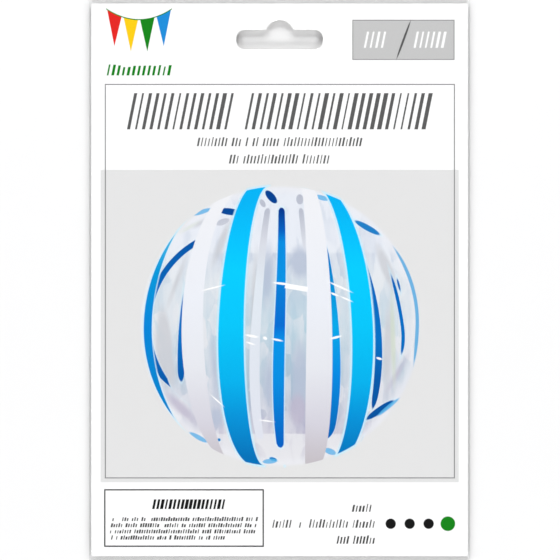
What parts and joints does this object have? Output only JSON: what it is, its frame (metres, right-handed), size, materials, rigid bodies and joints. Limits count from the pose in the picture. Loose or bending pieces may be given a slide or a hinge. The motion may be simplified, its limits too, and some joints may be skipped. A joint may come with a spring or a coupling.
{
  "type": "retail packet",
  "caption": "Flat retail packet: a white printed card with a picture of a striped clear ball, in a clear film bag with a hang hole for a shop peg.",
  "frame": {"origin": "middle of the packet's back, on the surface that it lies on", "axes": "+Z out of the printed front, +Y towards the end with the hang hole, +X to the right of the print"},
  "size_m": [0.141, 0.212, 0.0017],
  "materials": {
    "card": "smooth coated white board, printed on the front",
    "film": "clear glossy film"
  },
  "bodies": {
    "root": {"printed_card": "card", "clear_bag": "film"}
  },
  "joints": []
}
